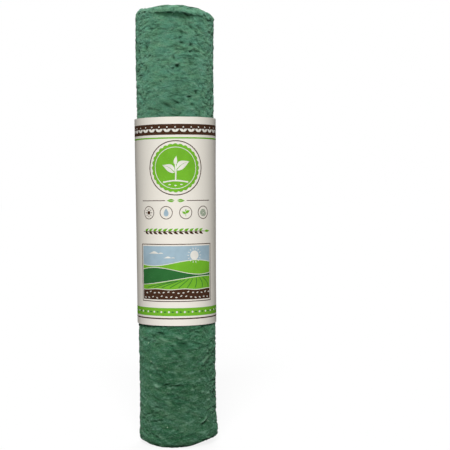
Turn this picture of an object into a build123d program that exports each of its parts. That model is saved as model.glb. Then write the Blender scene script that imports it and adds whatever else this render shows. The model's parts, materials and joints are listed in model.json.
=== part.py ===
"""A roll of grass seed mat, standing on one end, with a printed card sleeve round its middle.

The mat is one long, thin sheet of dyed fibre felt, wound on itself with no core. Its turns
show on both ends as a spiral, its free edge lies down the back as a step of one thickness,
and its ends are soft and rounded. The card sleeve is one strip, bent round the roll and
glued where its two ends lap at the back.

Millimetres, +Z up. The origin is the centre of the roll's lower end, on the floor.
The front of the roll faces -Y, and the free edge and the sleeve's lap are at the back.
"""

from build123d import *
import math
import os

# The mat, as it is cut and as it is wound.
mat_width = 500.0
mat_length = 8000.0
mat_thickness = 0.77
bore_diameter = 24.0

# The soft ends: the radius of each shoulder, how far it runs on past the outer wall, and the
# number of short straight facets that it is turned with.
top_shoulder = 12.0
bottom_shoulder = 10.0
shoulder_overrun = 0.25
shoulder_facets = 6

# The spiral gap between turns. The layers cling together, and a gap opens once in so many.
layers_per_gap = 4
gap_width = 0.5
gap_depth = 1.2

# The card sleeve. It stands a little above the middle of the roll.
card_thickness = 0.4
sleeve_height = 234.0
sleeve_rise = 6.5
sleeve_clearance = 0.3
lap_length = 15.0
lap_ramp = 4.0
lap_angle = 112.0

# The wound area is the sheet's edge area, so it gives the roll's radius.
bore_radius = bore_diameter / 2
wound_area = mat_length * mat_thickness
roll_radius = math.sqrt(wound_area / math.pi + bore_radius**2)

BACK = 90.0
QUARTER_TURN = 90.0
HALF_TURN = 180.0


def half_turns(start_radius, growth, count):
    """The semicircles of a two-centre spiral that starts at the back and grows outwards.

    Yields each one's centre, radius and starting angle. growth is the gain in one full turn.
    """
    for index in range(count):
        side = -1 if index % 2 == 0 else 1
        centre = (0, side * growth / 4)
        radius = start_radius + (2 * index + 1) * growth / 4
        yield centre, radius, BACK + HALF_TURN * (index % 2)


def wound_outline():
    """The outermost turn seen from above: a spiral of one turn, closed by the free edge."""
    arcs = [
        CenterArc(centre, radius, start, HALF_TURN)
        for centre, radius, start in half_turns(roll_radius - mat_thickness, mat_thickness, 2)
    ]
    free_edge = Line(arcs[-1] @ 1, arcs[0] @ 0)
    return make_face(arcs + [free_edge])


def quarter_round(radius):
    """Points of a quarter circle about the origin, from +Y round to +X."""
    step = math.radians(QUARTER_TURN / shoulder_facets)
    turns = [index * step for index in range(shoulder_facets + 1)]
    return [(radius * math.sin(turn), radius * math.cos(turn)) for turn in turns]


def end_profile(lift=0.0):
    """Half of the roll's section, to be turned: the bore, the flat ends and their shoulders.

    lift moves both ends in towards the middle, for the floor of the gaps between turns.
    """
    rim = roll_radius + shoulder_overrun
    low, high = lift, mat_width - lift
    top = [
        (rim - top_shoulder + x, high - top_shoulder + z) for x, z in quarter_round(top_shoulder)
    ]
    bottom = [
        (rim - bottom_shoulder + x, low + bottom_shoulder - z)
        for x, z in reversed(quarter_round(bottom_shoulder))
    ]
    corners = [(bore_radius, low), (bore_radius, high), *top, *bottom]
    return Plane.XZ * make_face(Polyline(*corners, close=True))


def winding_gap():
    """The spiral gap between turns, as thin as it opens and as tall as the mat is wide."""
    wound_depth = roll_radius - bore_radius
    turns = round(wound_depth / mat_thickness / layers_per_gap)
    pitch = wound_depth / turns
    spiral = list(half_turns(bore_radius + pitch / 2, pitch, 2 * (turns - 1)))
    inner = [CenterArc(c, r - gap_width / 2, start, HALF_TURN) for c, r, start in spiral]
    outer = [CenterArc(c, r + gap_width / 2, start, HALF_TURN) for c, r, start in spiral]
    first_cap = Line(inner[0] @ 0, outer[0] @ 0)
    last_cap = Line(inner[-1] @ 1, outer[-1] @ 1)
    return extrude(make_face(inner + outer + [first_cap, last_cap]), mat_width)


def mat_roll():
    """The wound mat as one turned solid, with its bore and its turns cut into both ends."""
    turned = revolve(end_profile(), Axis.Z)
    wound = turned & extrude(wound_outline(), mat_width)
    closed_core = revolve(end_profile(lift=gap_depth), Axis.Z)
    return wound - (winding_gap() - closed_core)


def label_sleeve():
    """The card sleeve: one strip bent to a ring, its outer end glued down over its inner one."""
    inside = roll_radius + sleeve_clearance
    outside = inside + card_thickness
    on_top = outside + card_thickness
    ring = Circle(outside) - Circle(inside)

    lap_turn = math.degrees(lap_length / outside)
    ramp_turn = math.degrees(lap_ramp / outside)
    root = inside + card_thickness / 2
    free_end = lap_angle + lap_turn
    foot = lap_angle - ramp_turn
    leaf_outside = CenterArc((0, 0), on_top, lap_angle, lap_turn)
    leaf_root = CenterArc((0, 0), root, foot, free_end - foot)
    leaf = make_face(
        [
            leaf_outside,
            Line(leaf_outside @ 1, leaf_root @ 1),
            leaf_root,
            Polyline(leaf_root @ 0, Vector(outside, 0).rotate(Axis.Z, foot), leaf_outside @ 0),
        ]
    )
    base = mat_width / 2 + sleeve_rise - sleeve_height / 2
    return Pos(0, 0, base) * extrude(ring + leaf, sleeve_height)


os.makedirs("parts", exist_ok=True)
export_step(mat_roll(), "parts/mat_roll.step")
export_step(label_sleeve(), "parts/label_sleeve.step")
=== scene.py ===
import json
import math
import random

import bmesh
import bpy
import numpy as np
from mathutils import Matrix, Vector, noise
from mathutils.bvhtree import BVHTree


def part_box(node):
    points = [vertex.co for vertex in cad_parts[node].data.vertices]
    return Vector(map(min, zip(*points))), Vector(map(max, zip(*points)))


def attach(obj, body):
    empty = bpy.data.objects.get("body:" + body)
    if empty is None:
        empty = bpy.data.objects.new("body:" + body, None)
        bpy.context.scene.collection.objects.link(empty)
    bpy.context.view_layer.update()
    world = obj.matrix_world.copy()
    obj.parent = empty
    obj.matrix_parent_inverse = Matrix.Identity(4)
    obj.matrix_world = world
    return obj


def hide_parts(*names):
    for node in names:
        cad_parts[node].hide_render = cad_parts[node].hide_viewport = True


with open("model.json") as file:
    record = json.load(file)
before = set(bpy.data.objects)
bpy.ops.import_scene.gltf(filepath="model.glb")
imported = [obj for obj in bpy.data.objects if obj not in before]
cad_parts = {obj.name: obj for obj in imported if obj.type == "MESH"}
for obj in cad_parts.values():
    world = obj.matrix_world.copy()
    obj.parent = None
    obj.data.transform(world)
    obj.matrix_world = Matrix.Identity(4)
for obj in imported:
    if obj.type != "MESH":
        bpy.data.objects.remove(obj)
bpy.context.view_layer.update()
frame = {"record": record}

mm = 0.001
fullTurn = 2 * math.pi
front = math.radians(-90)   # the side of the roll that the camera sees
back = math.radians(90)     # the side where the mat and the sleeve end

matLow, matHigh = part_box("mat_roll")
sleeveLow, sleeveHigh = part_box("label_sleeve")
rollHeight = matHigh.z
rollRadius = (matHigh.x - matLow.x) / 2
boreMount = next(m for m in frame["record"]["mounts"] if m["name"] == "bore")
boreRadius = boreMount["dims"]["r_mm"] * mm


# Small helpers for the modelling below.

def pickOnly(piece):
    bpy.ops.object.select_all(action="DESELECT")
    piece.select_set(True)
    bpy.context.view_layer.objects.active = piece


def newest(name):
    piece = bpy.context.object
    piece.name = name
    piece.data.name = name
    return piece


def inEditMode(piece, *steps):
    pickOnly(piece)
    bpy.ops.object.mode_set(mode="EDIT")
    bpy.ops.mesh.select_all(action="SELECT")
    for step in steps:
        step()
    bpy.ops.object.mode_set(mode="OBJECT")


def faceOut():
    bpy.ops.mesh.normals_make_consistent(inside=False)


def closeUp(piece):
    # Merge what meets, fill the open ends and turn every face outwards.
    inEditMode(
        piece,
        lambda: bpy.ops.mesh.remove_doubles(threshold=0.001 * mm),
        lambda: bpy.ops.mesh.fill_holes(sides=0),
        faceOut,
    )


def applyModifier(piece, kind, **settings):
    pickOnly(piece)
    modifier = piece.modifiers.new(kind.lower(), kind)
    for name, value in settings.items():
        setattr(modifier, name, value)
    bpy.ops.object.modifier_apply(modifier=modifier.name)


def finishPiece(piece, material, standsFor=None, smoothAngle=180):
    # Every piece belongs to the one body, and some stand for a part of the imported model.
    pickOnly(piece)
    bpy.ops.object.transform_apply(location=True, rotation=True, scale=True)
    bpy.ops.object.shade_smooth_by_angle(angle=math.radians(smoothAngle))
    piece.data.materials.append(material)
    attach(piece, "root")
    if standsFor:
        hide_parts(standsFor)


def readPoints(piece):
    flat = np.empty(len(piece.data.vertices) * 3)
    piece.data.vertices.foreach_get("co", flat)
    return flat.reshape(-1, 3)


def writePoints(piece, points):
    piece.data.vertices.foreach_set("co", np.asarray(points, float).ravel())
    piece.data.update()


def writeValues(piece, name, values):
    # A number for each point, which the material reads by this name.
    layer = piece.data.attributes.new(name, "FLOAT", "POINT")
    layer.data.foreach_set("value", np.clip(values, -1, 1))


def flatSheet(name, columns, rows):
    # A sheet of squares, and for each of its points the column and the row that it is in.
    bpy.ops.mesh.primitive_grid_add(x_subdivisions=columns, y_subdivisions=rows, size=1)
    sheet = newest(name)
    points = readPoints(sheet)
    column = np.rint((points[:, 0] + 0.5) * columns).astype(int)
    row = np.rint((points[:, 1] + 0.5) * rows).astype(int)
    return sheet, column, row


def mapSheet(sheet, along, section, slack=0):
    # The piece's UV map, in metres of mat: along its length and round its section.
    ends = zip(section, section[1:] + section[:1])
    across = np.cumsum([0] + [math.dist(one, other) + slack for one, other in ends])
    layer = sheet.data.uv_layers.active
    flat = np.empty(len(sheet.data.loops) * 2)
    layer.data.foreach_get("uv", flat)
    column, row = np.rint(flat.reshape(-1, 2) * (len(along) - 1, len(across) - 1)).astype(int).T
    layer.data.foreach_set("uv", np.stack([along[column], across[row]], 1).ravel())


def smoothStep(value, start, end):
    share = np.clip((value - start) / (end - start), 0, 1)
    return share * share * (3 - 2 * share)


def bell(across, up=0):
    # 1 in the middle, about a third at 1 on either side, and soon nothing.
    return np.exp(-(across**2) - up**2)


def cosSin(degrees):
    turn = math.radians(degrees)
    return math.cos(turn), math.sin(turn)


def onRoll(angle, radius, height):
    return Vector((radius * math.cos(angle), radius * math.sin(angle), height))


def fromFront(angle, degrees=0):
    # How far round this is from a place on the front, from -180 to 180 degrees.
    return (np.degrees(angle - front) - degrees + 180) % 360 - 180


def roundTheRoll(table, angle):
    # What a table says at this angle, column by column. Its first column is degrees from the front.
    turns, *columns = zip(*table)
    return [np.interp(fromFront(angle), turns, values) for values in columns]


def atPlaces(places, angle, height):
    # Degrees from the front, height, half width in degrees, half height, and how much it comes to.
    total = 0
    for degrees, level, wide, tall, amount in places:
        total += amount * bell(fromFront(angle, degrees) / wide, (height / mm - level) / tall)
    return total


def wayOut(across, up):
    # The way from the roll towards a place, in degrees from the front and degrees up.
    (acrossCos, acrossSin), (upCos, upSin) = cosSin(across), cosSin(up)
    return Vector((acrossSin * upCos, -acrossCos * upCos, upSin))


def waver(x, y, z):
    # Smooth noise between about -1 and 1.
    return noise.noise(Vector((x, y, z)))


# Node helpers for the materials.

def startMaterial(name):
    material = bpy.data.materials.new(name)
    material.use_nodes = True
    tree = material.node_tree
    return material, tree, tree.nodes["Principled BSDF"]


def fillSockets(tree, node, sockets):
    # Link the sockets that are given a node's output, and set the others. A colour is three numbers.
    for name, value in sockets.items():
        socket = node.inputs[name]
        if isinstance(value, bpy.types.NodeSocket):
            tree.links.new(value, socket)
        else:
            socket.default_value = (*value, 1) if socket.type == "RGBA" else value


def addNode(tree, kind, sockets, **settings):
    node = tree.nodes.new(kind)
    for name, value in settings.items():
        setattr(node, name, value)
    fillSockets(tree, node, sockets)
    return node


def placeOn(tree, kind):
    # Where a point lies on the piece: "Object" in space, or "UV" on the piece's own map.
    return addNode(tree, "ShaderNodeTexCoord", {}).outputs[kind]


def squeezed(tree, scale):
    sockets = {"Vector": placeOn(tree, "Object"), "Scale": scale}
    return addNode(tree, "ShaderNodeMapping", sockets).outputs["Vector"]


def streaked(tree, length, lean):
    # The piece's map, in which noise runs out into streaks that lie at an angle to its length.
    turn = (0, 0, math.radians(lean))
    sockets = {"Vector": placeOn(tree, "UV"), "Scale": (length, 1, 1), "Rotation": turn}
    return addNode(tree, "ShaderNodeMapping", sockets, vector_type="TEXTURE").outputs["Vector"]


def grain(tree, vector, size, detail, roughness=0.55):
    # Noise with lumps of about the given size.
    sockets = {"Vector": vector, "Scale": 1 / size, "Detail": detail, "Roughness": roughness}
    return addNode(tree, "ShaderNodeTexNoise", sockets).outputs["Fac"]


def remap(tree, value, low, high, toLow, toHigh):
    sockets = {"Value": value, "From Min": low, "From Max": high, "To Min": toLow, "To Max": toHigh}
    return addNode(tree, "ShaderNodeMapRange", sockets).outputs["Result"]


def addUp(tree, one, other, clamp=False):
    return addNode(tree, "ShaderNodeMath", {0: one, 1: other}, operation="ADD", use_clamp=clamp).outputs[0]


def ownValue(tree, name):
    # A number that the mesh has for each of its points.
    return addNode(tree, "ShaderNodeAttribute", {}, attribute_name=name).outputs["Fac"]


def ramp(tree, value, stops):
    node = addNode(tree, "ShaderNodeValToRGB", {"Fac": value})
    elements = node.color_ramp.elements
    elements[0].position, elements[1].position = stops[0][0], stops[-1][0]
    for place, _ in stops[1:-1]:
        elements.new(place)
    for element, (_, colour) in zip(elements, stops):
        element.color = (*colour, 1)
    return node.outputs["Color"]


def blendColours(tree, share, first, second, way="MIX"):
    sockets = {0: share, 6: first, 7: second}
    return addNode(tree, "ShaderNodeMix", sockets, data_type="RGBA", blend_type=way).outputs[2]


def blendWhere(tree, value, low, high, share, first, second):
    # The first colour, with up to this share of the second as the value goes from low to high.
    return blendColours(tree, remap(tree, value, low, high, 0, share), first, second)


def bumped(tree, relief, height, strength):
    sockets = {"Height": relief, "Distance": height, "Strength": strength}
    return addNode(tree, "ShaderNodeBump", sockets).outputs["Normal"]


# The camera: where the photo was taken from.

cameraView = {
    "distance": 1300 * mm,      # from the middle of the roll
    "elevation": 1.49,          # degrees above the horizon
    "lean": -0.558,             # degrees that the camera is rolled
    "frameSize": 450,           # pixels, as are the next three
    "focalLength": 1122,
    "rollAcross": 176.07,
    "rollDown": 226.35,
    "sensor": 36,               # mm
}


def placeCamera():
    size = cameraView["frameSize"]
    away = wayOut(0, cameraView["elevation"])
    bpy.ops.object.camera_add(location=Vector((0, 0, rollHeight / 2)) + away * cameraView["distance"])
    camera = bpy.context.object
    camera.name = "photoCamera"
    aim = (-away).to_track_quat("-Z", "Y").to_matrix()
    camera.rotation_euler = (aim @ Matrix.Rotation(math.radians(cameraView["lean"]), 3, "Z")).to_euler()
    camera.data.sensor_width = cameraView["sensor"]
    camera.data.lens = cameraView["focalLength"] / size * cameraView["sensor"]
    camera.data.shift_x = 0.5 - cameraView["rollAcross"] / size
    camera.data.shift_y = cameraView["rollDown"] / size - 0.5
    camera.data.clip_start = 10 * mm
    bpy.context.scene.camera = camera


placeCamera()
print("camera placed")


# The studio: a soft lamp above the camera, a weaker one behind, a pale world and a white floor.

studio = {
    "lamps": {                  # degrees from the front, degrees up, strength, softness in degrees
        "softLamp": (-2, 38, 3.90, 22),
        "backLamp": (171, 30, 2.2, 40),
    },
    "worldLight": 0.05,
    "floorColour": (0.13, 0.13, 0.13),
    "floorGlow": 0.85,          # seen by the camera only, so that the floor reads as white
    "floorSize": 60,
}


def seenDirectly(tree):
    # 1 for rays that show the background itself, by eye, in a mirror or through glass.
    rays = addNode(tree, "ShaderNodeLightPath", {}).outputs
    total = rays["Is Camera Ray"]
    for other in ("Is Glossy Ray", "Is Transmission Ray"):
        total = addUp(tree, total, rays[other], clamp=True)
    return total


def lightTheWorld():
    world = bpy.data.worlds.new("paleStudio")
    world.use_nodes = True
    bpy.context.scene.world = world
    tree = world.node_tree
    strength = remap(tree, seenDirectly(tree), 0, 1, studio["worldLight"], 1)
    fillSockets(tree, tree.nodes["Background"], {"Color": (1, 1, 1), "Strength": strength})


def hangLamp(name, across, up, strength, softness):
    away = wayOut(across, up)
    bpy.ops.object.light_add(type="SUN", location=away * 2)
    lamp = bpy.context.object
    lamp.name = name
    lamp.rotation_euler = (-away).to_track_quat("-Z", "Y").to_euler()
    lamp.data.energy = strength
    lamp.data.angle = math.radians(softness)


def layFloor():
    bpy.ops.object.select_all(action="DESELECT")
    bpy.ops.mesh.primitive_plane_add(size=studio["floorSize"], location=(0, 0, 0))
    floor = newest("studioFloor")
    material, tree, surface = startMaterial("paleFloor")
    fillSockets(tree, surface, {
        "Base Color": studio["floorColour"],
        "Roughness": 1,
        "Specular IOR Level": 0,
        "Emission Color": (1, 1, 1),
        "Emission Strength": remap(tree, seenDirectly(tree), 0, 1, 0, studio["floorGlow"]),
    })
    floor.data.materials.append(material)


bpy.context.scene.view_settings.view_transform = "Standard"
lightTheWorld()
for name, settings in studio["lamps"].items():
    hangLamp(name, *settings)
layFloor()
print("studio lit")


# The felt: green fibres, with painted light that makes them paler towards the top of the roll, painted shade
# in the pits, creases and gaps, and a soft nap.

felt = {
    # Share of the roll's height, and the dye there, with painted light: paler towards the top, which the lamp
    # above lights more, and darker towards the foot.
    "dyeAndPaintedLight": [
        (0.00, (0.023, 0.106, 0.045)), (0.20, (0.0258, 0.118, 0.0505)), (0.27, (0.0405, 0.172, 0.081)),
        (0.76, (0.094, 0.269, 0.162)), (0.88, (0.122, 0.338, 0.209)),
    ],
    # The deep green of the darker patches, which also paints the shade in pits, creases, gaps and low on the
    # right.
    "deep": (0.009, 0.053, 0.021),
    # The pale of bleached fibres, which also paints the light on the upper edge.
    "bleachedAndPaintedLight": (0.215, 0.380, 0.268),
    "paintedLipLight": (11 * mm, 0.30),     # painted light on the upper edge, which faces the lamp: its height, and its share
    # Size of the patches, how much longer than tall, lean in degrees, share bleached and share deep.
    "patches": [
        (40 * mm, 1.6, 8, 0.20, 0.24), (17 * mm, 2.0, 0, 0.32, 0.40),
        (6.0 * mm, 2.8, 17, 0.58, 0.84), (4.2 * mm, 2.8, -19, 0.50, 0.84),
    ],
    # Size of the fibres, their length and lean, and the share of pale and of dark ones.
    "fibres": [
        (0.7 * mm, 6, 6, 0.55, 0.57), (0.6 * mm, 7, 30, 0.53, 0.55),
        (0.6 * mm, 7, -32, 0.53, 0.55), (0.7 * mm, 6, 78, 0.24, 0.30),
    ],
    # The noise at which patches and fibres begin to be pale or dark, and at which they are so.
    "palePatch": (0.55, 0.75), "darkPatch": (0.45, 0.27),
    "paleFibre": (0.58, 0.72), "darkFibre": (0.42, 0.30),
    # Painted shade low on the right, where less light falls: its middle, how far it reaches, and its share.
    "paintedShadeLowRight": ((37 * mm, -26 * mm, 50 * mm), 80 * mm, 0.42),
    "worn": 0.75,                   # share bleached where a tuft stands up
    "tintSize": 12 * mm,            # patches of yellower and bluer dye
    "tints": ((1.055, 1.00, 0.945), (0.95, 1.00, 1.065)),
    "napSheen": 0.15,
    "napColour": (0.55, 0.85, 0.68),
    "reliefSize": 1.6 * mm,
    "bumpHeight": 0.6 * mm,
}


def mottled(tree, colour, cloud, kind, pale, dark):
    # Bleached where the noise is high, and deep where it is low.
    colour = blendWhere(tree, cloud, *felt["pale" + kind], pale, colour, felt["bleachedAndPaintedLight"])
    return blendWhere(tree, cloud, *felt["dark" + kind], dark, colour, felt["deep"])


def feltMaterial():
    material, tree, surface = startMaterial("greenFelt")
    place = placeOn(tree, "Object")
    height = addNode(tree, "ShaderNodeSeparateXYZ", {"Vector": place}).outputs["Z"]
    # Painted light by height: the green is paler towards the top and darker towards the foot.
    colour = ramp(tree, remap(tree, height, 0, rollHeight, 0, 1), felt["dyeAndPaintedLight"])
    # Painted light: the upper edge, which faces the lamp, is blended towards the pale colour.
    lip, share = felt["paintedLipLight"]
    colour = blendWhere(tree, height, rollHeight - lip, rollHeight - lip / 3, share, colour, felt["bleachedAndPaintedLight"])
    # Painted shade, darkest at the middle of that patch low on the right.
    middle, reach, share = felt["paintedShadeLowRight"]
    away = addNode(tree, "ShaderNodeVectorMath", {0: place, 1: middle}, operation="DISTANCE").outputs["Value"]
    colour = blendWhere(tree, away, reach, 0, share, colour, felt["deep"])

    # Patches of thinner and deeper dye, then single fibres, which stand up a little too.
    for size, length, lean, pale, dark in felt["patches"]:
        cloud = grain(tree, streaked(tree, length, lean), size, 4)
        colour = mottled(tree, colour, cloud, "Patch", pale, dark)
    relief = grain(tree, streaked(tree, 2, 0), felt["reliefSize"], 4, 0.7)
    for size, length, lean, pale, dark in felt["fibres"]:
        threads = grain(tree, streaked(tree, length, lean), size, 2)
        colour = mottled(tree, colour, threads, "Fibre", pale, dark)
        relief = addUp(tree, relief, threads)
    tint = grain(tree, streaked(tree, 1.4, 12), felt["tintSize"], 4)
    tint = blendWhere(tree, tint, 0.36, 0.64, 1, *felt["tints"])
    colour = blendColours(tree, 1.0, colour, tint, "MULTIPLY")

    # 1 is painted shade, darkest on the floors of pits, creases and gaps, and -1 is a worn tuft that stands
    # up.
    paintedShadeAndWear = ownValue(tree, "paintedShadeAndWear")
    colour = blendWhere(tree, paintedShadeAndWear, 0, 1, 1, colour, felt["deep"])
    colour = blendWhere(tree, paintedShadeAndWear, 0, -1, felt["worn"], colour, felt["bleachedAndPaintedLight"])
    fillSockets(tree, surface, {
        "Base Color": colour,
        "Roughness": 1.0,
        "Diffuse Roughness": 1.0,
        "Specular IOR Level": 0.1,
        "Sheen Weight": felt["napSheen"],
        "Sheen Roughness": 0.5,
        "Sheen Tint": felt["napColour"],
        "Normal": bumped(tree, relief, felt["bumpHeight"], 0.8),
    })
    return material


feltGreen = feltMaterial()


# The felt's relief: lying lumps that lean one way in some places and the other way in others.

lumps = {
    "lieFlat": 2.6,             # how much wider than tall the lumps are
    "leans": (12, -14),         # degrees, either way, and sizes and heights are in mm here
    "leanSize": 26, "leanChange": 0.2,
    "bendSize": 16, "bend": 3.2,
    "swellSize": 42, "swellHeight": 0.5,
    "puffSize": 18, "puffHeight": 2.5,
    "tuftSize": 6.2, "tuftHeight": 1.3,
    "grainSize": 2.3, "grainHeight": 0.5,
    "middling": 0.45,           # the noise at which a puff or tuft neither rises nor sinks
    "crease": (1.15, 1.7, 1.6),     # its painted shade where there is no puff or tuft, and what each takes off
    "sag": 0.45,                # share of its height that a lump hangs down by
    "aboveSleeve": 0.74, "belowSleeve": 1.10,    # the felt is smoother above than below
    "calmSize": 24, "calm": 0.6,    # the relief is stronger in some patches than in others
    # Where it is calmer: degrees from the front, height, half width, half height, by how much.
    "calmPlaces": [(-54, 92, 28, 52, 0.38), (-35, 404, 25, 16, 0.30), (-10, 402, 20, 12, 0.15)],
    "calmFoot": (2, 18, 0.5),   # heights from and to which it grows from this share to all of it
    "pressedFlat": 0.65,        # share taken off the lumps' tops, which the winding presses flat
    "seed": 2,                  # the noise that bends them starts from here at every run
}
noise.seed_set(lumps["seed"])


def laidDown(place, degrees):
    # A place on the flat mat, turned and squeezed, for lumps that lie along a slanting line.
    cos, sin = cosSin(degrees)
    along, over = place.x * cos + place.y * sin, place.y * cos - place.x * sin
    return Vector((along, over * lumps["lieFlat"], degrees))


def feltLump(angle, height):
    # The height of the felt's lumps at a place on the wall, and the painted shade of a crease there.
    place = Vector((angle * rollRadius, height, 0)) / mm
    change = lumps["leanChange"]
    side = float(smoothStep(noise.noise(place / lumps["leanSize"]), -change, change))
    swell = noise.noise(place / lumps["swellSize"])
    rough = 1 + lumps["calm"] * noise.noise(place / lumps["calmSize"] + Vector((0, 0, 9)))
    rough -= atPlaces(lumps["calmPlaces"], angle, height)
    place += noise.noise_vector(place / lumps["bendSize"]) * lumps["bend"]
    one, other = (laidDown(place, lean) for lean in lumps["leans"])
    oneWay = abs(2 * side - 1)      # 1 where the lumps lean one way, and 0 where they change over
    puff = noise.turbulence((one if side < 0.5 else other) / lumps["puffSize"], 2, True) * oneWay
    puff += lumps["middling"] * (1 - oneWay)
    tuft = (1 - side) * noise.turbulence(one / lumps["tuftSize"], 2, True)
    tuft += side * noise.turbulence(other / lumps["tuftSize"], 2, True)
    fine = noise.noise(one / lumps["grainSize"]) + 0.6 * noise.noise(other * 1.7 / lumps["grainSize"])
    lump = (
        swell * lumps["swellHeight"]
        + (puff - lumps["middling"]) * lumps["puffHeight"]
        + (tuft - lumps["middling"]) * lumps["tuftHeight"]
        + fine * lumps["grainHeight"]
    )
    lump -= lumps["pressedFlat"] * max(0.0, lump)
    # Painted shade in the creases between the puffs and tufts.
    dark, lessByPuff, lessByTuft = lumps["crease"]
    crease = dark - lessByPuff * puff - lessByTuft * tuft
    strength = rough * lumps["aboveSleeve" if height > sleeveLow.z else "belowSleeve"]
    low, high, share = lumps["calmFoot"]
    strength *= share + (1 - share) * float(smoothStep(height / mm, low, high))
    return lump * strength * mm, min(1.0, max(0.0, crease)) * strength


# Dents and tufts listed one by one, as the roll in the photo has them: degrees from the front, height, half
# width, half height, lean in degrees, and depth. A tuft has a negative depth. Then how many more are
# scattered all round, and the range of their sizes.
marks = {
    "above": [
        (10.6, 455.6, 2.8, 1.6, -10, 1.6), (25, 453, 2.7, 2.0, 10, 2.4), (-1, 439, 1.7, 2.2, 30, 1.2),
        (4, 428.8, 2.8, 2.0, 20, 2.3), (-2, 427, 2.6, 1.0, 35, 1.4), (-46.5, 451.6, 1.8, 3.2, 0, 2.1),
        (60, 447, 1.6, 1.3, 0, 1.2), (29, 438.5, 1.6, 1.2, 20, 1.1), (27, 446, 1.6, 1.0, -20, 0.9),
        (33.6, 400.4, 2.2, 2.0, 0, 2.5), (22, 395, 2.8, 1.6, 0, 2.2), (54, 395, 1.8, 1.4, -30, 1.5),
        (-47, 428, 1.2, 3.4, -30, 1.2), (-55, 401, 1.2, 3.5, 0, 0.9), (-12, 386.5, 7.0, 2.2, -25, 1.2),
        (25, 473, 4.0, 1.6, -28, 1.2), (33, 468.5, 3.0, 1.4, -35, 1.1), (26, 387, 2.2, 1.4, -30, 1.2),
        (10, 397, 6.0, 0.8, 0, 0.9), (-48, 492, 1.6, 1.1, 25, 1.8), (-32, 493.4, 1.3, 1.2, 0, 1.6),
        (-0.5, 493.3, 1.4, 1.2, 40, 1.2), (-36, 459, 1.8, 1.6, 0, -1.0), (-2, 415, 1.4, 1.4, 0, -0.6),
        (26, 382.5, 2.2, 1.4, 0, -1.2), (4, 433.2, 2.8, 1.3, 0, -1.2), (-32, 490.9, 2.0, 1.0, -20, -1.2),
        (-50, 490.0, 2.6, 1.0, 15, -1.2), (-6, 447, 3.4, 1.3, 10, -0.6), (18, 468, 4.0, 1.4, -12, -0.7),
        (-9, 491.6, 2.2, 0.9, 5, -0.8), (6, 492.0, 2.0, 0.9, -5, -0.7), (14, 490.4, 2.4, 0.9, -15, -0.8),
        (22, 489.0, 2.0, 0.8, -20, -0.7), (31, 488.0, 2.2, 0.8, -10, -0.6), (-41, 491.0, 1.4, 0.9, 0, -0.7),
        (37, 491.0, 1.3, 1.1, 0, 1.0),
    ],
    "below": [
        (-14.5, 140, 3.5, 3.0, 0, 1.4), (8, 117.5, 6.5, 4.6, 5, 1.0), (4.6, 103.5, 2.6, 1.8, 0, 1.3),
        (-23, 111.5, 2.8, 1.2, 0, 1.3), (-43, 95, 2.6, 1.5, 0, 1.3), (-15, 60, 2.4, 1.1, 0, 1.4),
        (-7, 52, 4.5, 1.1, -35, 1.2), (-31, 45.5, 4.5, 2.0, 0, 0.9), (-17, 71.5, 6.5, 1.0, 22, 1.3),
        (41, 26, 5.0, 2.0, 22, 2.6), (47, 30.5, 2.4, 0.9, 45, 1.6), (55, 95, 1.8, 2.4, 0, 1.3),
        (25.5, 99.5, 5.0, 1.8, 0, 1.1), (2, 70.5, 5.0, 1.2, 0, 1.2), (15, 72, 2.6, 1.2, 0, 1.2),
        (-34, 12, 5.0, 1.0, -14, 1.2), (-8, 11, 7.0, 0.9, 4, 1.1), (14, 14, 5.0, 0.8, 10, 0.9),
        (-2, 97, 6.0, 1.0, 12, 1.1), (30, 118, 6.0, 1.0, -14, 1.1),
        (22, 132, 5.0, 1.2, 25, 1.1), (-30, 128, 4.5, 1.0, 10, 0.9), (2, 126.5, 5.0, 2.2, -15, -1.0),
        (-32, 71, 3.2, 2.0, -15, -1.3), (24, 66.3, 6.0, 1.5, 4, -1.2), (-22, 112, 5.0, 1.8, 12, -0.8),
        (-20, 124, 4.0, 1.8, -20, -0.8), (20, 31, 5.0, 1.4, 25, -0.7), (42.5, 32, 4.8, 1.4, 38, -2.2),
        (-10, 14.4, 2.4, 1.2, 0, -0.9),
    ],
    "dents": 230, "tufts": 130, "tuftDepth": -0.6,
    "halfWidths": (1.0, 2.8), "halfHeights": (0.8, 1.6), "depths": (0.5, 1.5), "leans": (-30, 30),
    "fullyDark": 1.3,           # the depth from which the painted shade in the middle of a dent is as dark as can be
}


def allMarks():
    draw = random.Random(11)
    found = marks["above"] + marks["below"]
    for way in [1] * marks["dents"] + [marks["tuftDepth"]] * marks["tufts"]:
        place = draw.uniform(-180, 180), draw.uniform(4, rollHeight / mm - 8)
        size = draw.uniform(*marks["halfWidths"]), draw.uniform(*marks["halfHeights"])
        found.append((*place, *size, draw.uniform(*marks["leans"]), draw.uniform(*marks["depths"]) * way))
    return found


def addMarks(angles, heights):
    # What all the dents and tufts add to the relief, where the dents darken the felt with painted shade, and
    # where the tufts bleach it.
    lift, paintedShadeAndWear, worn = np.zeros((3, len(angles)))
    for degrees, height, halfWidth, halfHeight, lean, depth in allMarks():
        across = np.radians(fromFront(angles, degrees)) * rollRadius / mm
        up = heights / mm - height
        near = (np.abs(across) < 3 * halfWidth + 3) & (np.abs(up) < 3 * halfHeight + 3)
        cos, sin = cosSin(lean)
        along = (across[near] * cos + up[near] * sin) / halfWidth
        over = (up[near] * cos - across[near] * sin) / halfHeight
        share = bell(along, over) ** 0.9
        lift[near] -= share * depth * mm
        # Dents get painted shade, and tufts are bleached.
        changed = paintedShadeAndWear if depth > 0 else worn
        changed[near] = np.maximum(changed[near], share**1.3 * min(1, abs(depth) / marks["fullyDark"]))
    return lift, paintedShadeAndWear, worn


# The outer turns of the mat: one piece whose face is the last turn, with its free edge at the
# back. They lean in over both ends, where they are crushed, with a crease under the upper lip.

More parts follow.
